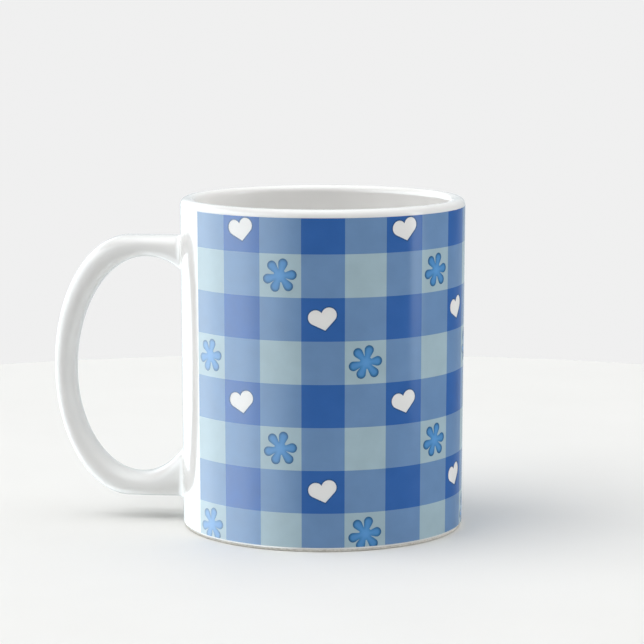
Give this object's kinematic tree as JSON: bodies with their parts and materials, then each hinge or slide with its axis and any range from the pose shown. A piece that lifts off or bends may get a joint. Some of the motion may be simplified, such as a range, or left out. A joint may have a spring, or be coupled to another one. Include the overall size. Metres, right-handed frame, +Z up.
{
  "type": "coffee mug",
  "caption": "Straight-sided glazed ceramic mug with a strap handle, a bare foot ring and a blue check, heart and daisy transfer print wrapped round the wall.",
  "frame": {"origin": "on the cup's axis, in the plane that the foot ring stands on", "axes": "+Z up along the cup's axis, out of its mouth; the handle points along -X, so +X is the side opposite the handle, and the middle of the printed wrap; +Y is to the left of someone who looks from the handle's side towards the cup"},
  "size_m": [0.1204, 0.0822, 0.0954],
  "materials": {
    "fired_clay": "matte",
    "white_glaze": "gloss",
    "printed_ink": "gloss"
  },
  "bodies": {
    "root": {"cup_body": "fired_clay", "handle": "fired_clay", "upper_joint": "white_glaze", "lower_joint": "white_glaze", "liner_glaze": "white_glaze", "outer_glaze": "white_glaze", "handle_glaze": "white_glaze", "base_glaze": "white_glaze", "printed_wrap": "printed_ink"}
  },
  "joints": []
}
